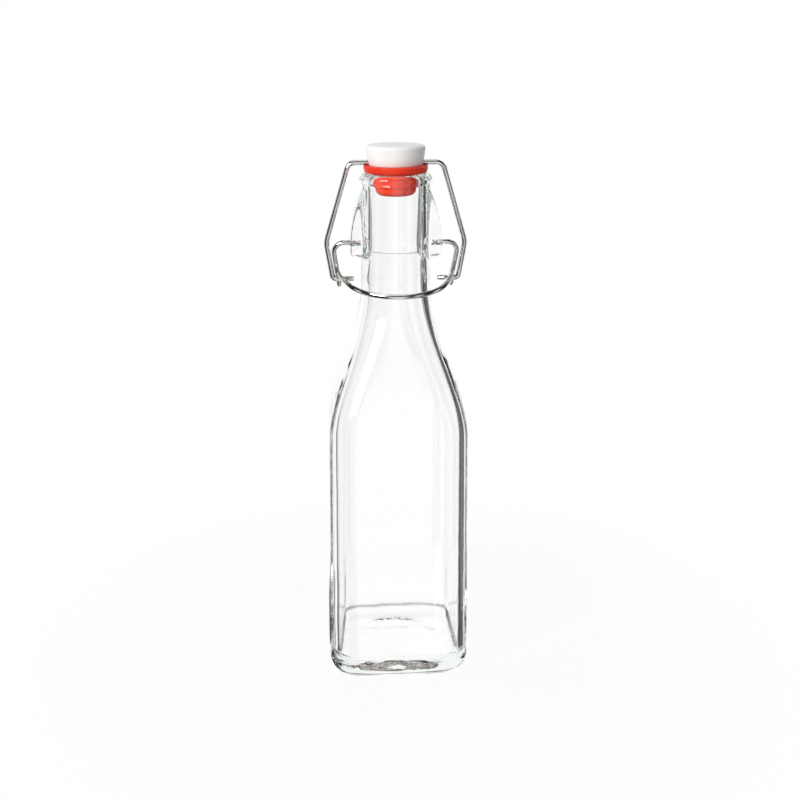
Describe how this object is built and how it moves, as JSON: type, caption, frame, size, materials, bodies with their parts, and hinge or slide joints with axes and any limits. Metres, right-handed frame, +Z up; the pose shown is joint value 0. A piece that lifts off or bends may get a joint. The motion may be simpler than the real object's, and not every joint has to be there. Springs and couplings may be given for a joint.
{
  "type": "swing top bottle",
  "caption": "Square clear glass bottle with a sloping shoulder and a round neck, closed by a white cap with a red rubber seal that a hinged steel wire lever holds down.",
  "frame": {"origin": "middle of the base, on the plane the bottle stands on", "axes": "+Z up along the neck, -Y is the front, where the bow of the lever wire hangs, and the lever pivots on a line along X"},
  "size_m": [0.0552, 0.0552, 0.2069],
  "materials": {
    "clear_glass": "clear, fire polished",
    "steel_wire": "bright drawn wire",
    "white_cap": "satin white moulding",
    "red_rubber": "smooth soft rubber"
  },
  "bodies": {
    "bottle": {"glass_bottle": "clear_glass"},
    "lever": {"lever_wire": "steel_wire"},
    "bail": {"bail_wire": "steel_wire"},
    "stopper": {"stopper_cap": "white_cap", "sealing_gasket": "red_rubber"}
  },
  "joints": [
    {"name": "lever_swing", "type": "hinge", "parent": "bottle", "child": "lever", "pos_m": [0, 0, 0.1701], "axis": [-1, 0, 0], "range_deg": [0, 90]},
    {"name": "bail_swing", "type": "hinge", "parent": "lever", "child": "bail", "pos_m": [0, 0.001, 0.156], "axis": [-1, 0, 0], "range_deg": [-63.9, 0]},
    {"name": "stopper_tilt", "type": "hinge", "parent": "bail", "child": "stopper", "pos_m": [0, 0, 0.2001], "axis": [-1, 0, 0], "range_deg": [-30.6, 0]}
  ],
  "couplings": [
    {"joint": "bail_swing", "follows": "lever_swing", "ratio": -0.71},
    {"joint": "stopper_tilt", "follows": "lever_swing", "ratio": -0.34}
  ]
}
